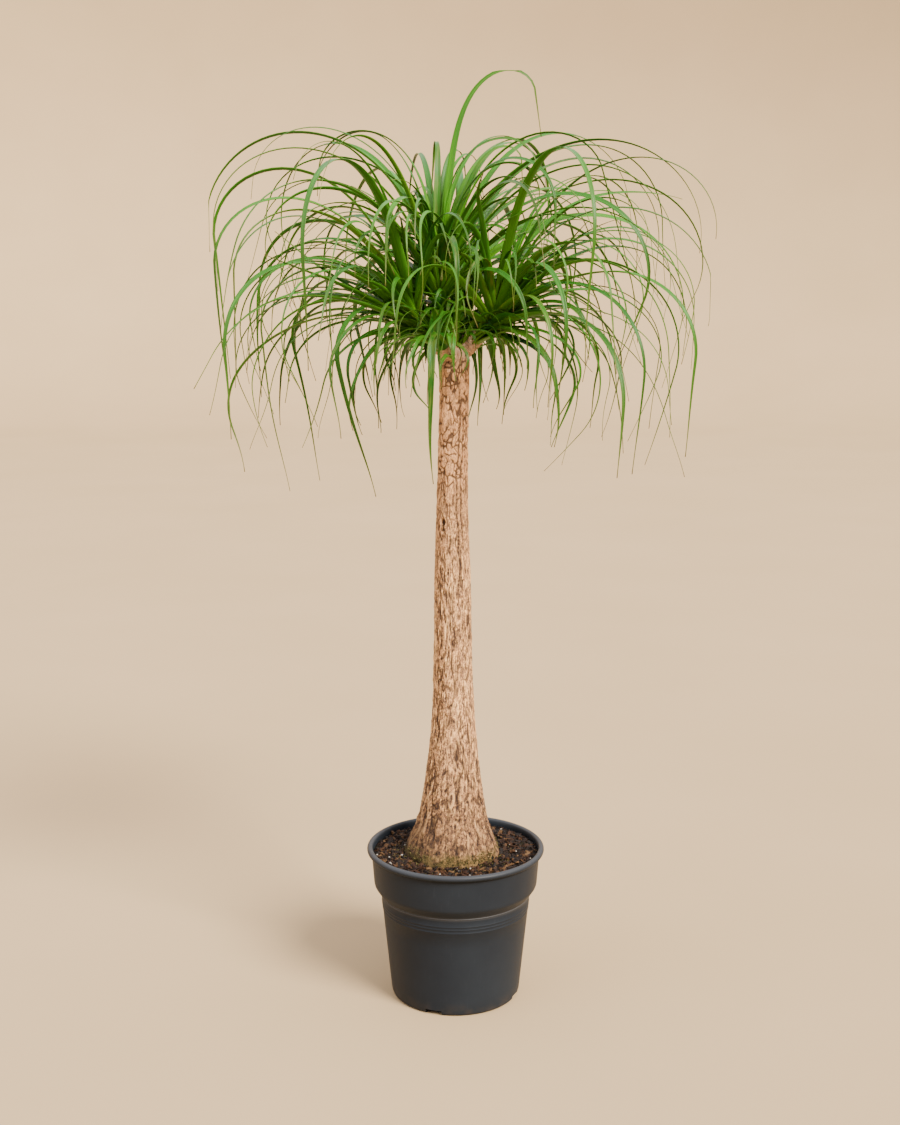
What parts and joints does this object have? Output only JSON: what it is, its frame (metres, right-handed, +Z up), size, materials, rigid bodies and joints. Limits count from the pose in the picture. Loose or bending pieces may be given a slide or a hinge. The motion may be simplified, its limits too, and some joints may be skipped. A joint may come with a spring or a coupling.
{
  "type": "potted ponytail palm",
  "caption": "House plant in a round nursery pot: a slender corky trunk with a flared foot and rosettes of long arching strap leaves.",
  "frame": {"origin": "middle of the pot's foot, on the surface that the pot stands on", "axes": "+Z up along the trunk, -Y towards the side that the picture shows, +X to that view's right"},
  "size_m": [0.6446, 0.6462, 1.219],
  "materials": {
    "pot": "satin",
    "potting_mix": "matte",
    "bark": "matte",
    "leaf": "satin"
  },
  "bodies": {
    "root": {"pot": "pot", "potting_mix": "potting_mix", "trunk": "bark", "leaves_centre": "leaf", "leaves_left": "leaf", "leaves_right": "leaf", "leaves_back": "leaf", "leaves_front": "leaf"}
  },
  "joints": []
}
